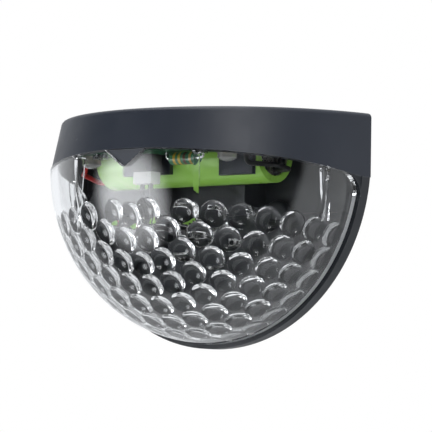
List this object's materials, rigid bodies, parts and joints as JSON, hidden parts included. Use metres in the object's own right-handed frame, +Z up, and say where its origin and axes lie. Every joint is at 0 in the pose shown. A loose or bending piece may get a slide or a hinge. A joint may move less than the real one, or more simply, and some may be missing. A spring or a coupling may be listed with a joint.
{
  "type": "fence light",
  "caption": "Small solar wall and fence light with a clear dimpled lens under a black housing, a battery and circuit inside, and a back tray with keyholes and a slide switch.",
  "frame": {"origin": "on the flat back, on the centre line, level with the widest part of the lens", "axes": "+X to the right as seen from the front, -Y out of the wall towards the viewer, +Z up"},
  "size_m": [0.0884, 0.0381, 0.0554],
  "materials": {
    "clear_lens": "clear polystyrene, glossy, dimpled on its inside",
    "housing_plastic": "fine matt texture",
    "tray_plastic": "fine matt texture",
    "foam_tape": "matt foam",
    "panel_board": "satin glass-fibre board",
    "silicon": "dark blue-black, satin",
    "clear_cover": "clear resin, glossy",
    "nickel_steel": "nickel plated, satin",
    "sleeve_film": "glossy shrink film",
    "nickel_tab": "bright nickel strip",
    "board": "green solder mask",
    "led_resin": "clear resin",
    "led_phosphor": "yellow phosphor gel",
    "inductor_resin": "dark green with colour bands",
    "tinned_wire": "tinned",
    "chip_resin": "matt",
    "connector_plastic": "satin nylon",
    "red_insulation": "soft satin",
    "black_insulation": "soft satin",
    "switch_steel": "plated sheet",
    "switch_plastic": "brown laminate",
    "slider_plastic": "satin",
    "screw_steel": "zinc plated"
  },
  "bodies": {
    "light": {"lens": "clear_lens", "top_housing": "housing_plastic", "back_tray": "tray_plastic", "panel_adhesive": "foam_tape", "solar_backing": "panel_board", "solar_cells": "silicon", "solar_cover": "clear_cover", "battery_can": "nickel_steel", "battery_sleeve": "sleeve_film", "positive_tab": "nickel_tab", "negative_tab": "nickel_tab", "circuit_board": "board", "led_left": "led_resin", "led_left_chip": "led_phosphor", "led_right": "led_resin", "led_right_chip": "led_phosphor", "inductor_body": "inductor_resin", "inductor_leads": "tinned_wire", "control_chip": "chip_resin", "chip_leads": "tinned_wire", "connector_socket": "connector_plastic", "connector_plug": "connector_plastic", "red_wire": "red_insulation", "black_wire": "black_insulation", "panel_red_wire": "red_insulation", "panel_black_wire": "black_insulation", "switch_wire_left": "black_insulation", "switch_wire_right": "black_insulation", "switch_frame": "switch_steel", "switch_base": "switch_plastic", "switch_terminals": "tinned_wire", "housing_screws": "screw_steel", "board_screws": "screw_steel"},
    "slider": {"switch_slider": "slider_plastic"}
  },
  "joints": [
    {"name": "switch_slide", "type": "slide", "parent": "light", "child": "slider", "axis": [1, 0, 0], "range_m": [0, 0.002]}
  ]
}
